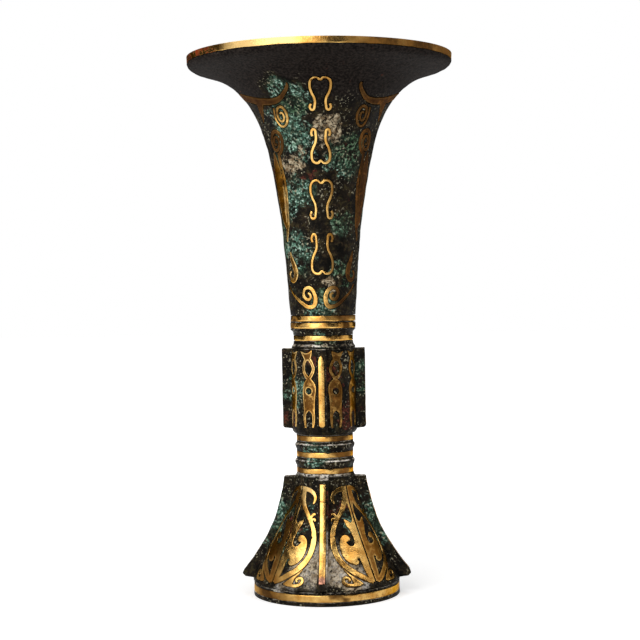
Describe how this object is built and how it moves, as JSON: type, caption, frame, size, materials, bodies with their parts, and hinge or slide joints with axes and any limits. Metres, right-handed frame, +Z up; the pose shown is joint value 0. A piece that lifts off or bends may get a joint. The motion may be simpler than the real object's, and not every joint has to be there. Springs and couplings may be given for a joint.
{
  "type": "ritual wine vase",
  "caption": "Slender bronze gu: trumpet mouth, flanged knop and flanged bell foot, all inlaid with gold bands, crest strips and scrollwork.",
  "frame": {"origin": "centre of the foot ring's underside, on the surface that the vase stands on", "axes": "+Z up along the vase's axis, front flange towards -Y, +X to the viewer's right"},
  "size_m": [0.1476, 0.1476, 0.3],
  "materials": {
    "bronze": "dark brown-black patinated bronze with green and grey mottling",
    "gold": "worn polished gold inlay"
  },
  "bodies": {
    "root": {"mouth_casting": "bronze", "knop_casting": "bronze", "foot_casting": "bronze", "cloud_right": "gold", "upper_volute_right_front": "gold", "long_stem_right_front": "gold", "leaf_curl_right_front": "gold", "low_volute_right_front": "gold", "upper_volute_right_back": "gold", "long_stem_right_back": "gold", "leaf_curl_right_back": "gold", "low_volute_right_back": "gold", "cloud_left": "gold", "upper_volute_left_front": "gold", "long_stem_left_front": "gold", "leaf_curl_left_front": "gold", "low_volute_left_front": "gold", "upper_volute_left_back": "gold", "long_stem_left_back": "gold", "leaf_curl_left_back": "gold", "low_volute_left_back": "gold", "column_scroll_1": "gold", "column_scroll_2": "gold", "column_scroll_3": "gold", "column_scroll_4": "gold", "rim_band": "gold", "recess_band": "gold", "collar_band_1": "gold", "collar_band_2": "gold", "knop_scroll_front_right_a": "gold", "knop_scroll_front_right_b": "gold", "knop_scroll_right_back_a": "gold", "knop_scroll_right_back_b": "gold", "knop_scroll_back_left_a": "gold", "knop_scroll_back_left_b": "gold", "knop_scroll_left_front_a": "gold", "knop_scroll_left_front_b": "gold", "knop_strip_front": "gold", "knop_strip_right": "gold", "knop_strip_back": "gold", "knop_strip_left": "gold", "bell_scroll_front_right_a": "gold", "bell_scroll_front_right_b": "gold", "bell_scroll_right_back_a": "gold", "bell_scroll_right_back_b": "gold", "bell_scroll_back_left_a": "gold", "bell_scroll_back_left_b": "gold", "bell_scroll_left_front_a": "gold", "bell_scroll_left_front_b": "gold", "bell_strip_front": "gold", "bell_strip_right": "gold", "bell_strip_back": "gold", "bell_strip_left": "gold", "neck_band_1": "gold", "neck_band_2": "gold", "neck_band_3": "gold", "foot_band": "gold"}
  },
  "joints": []
}
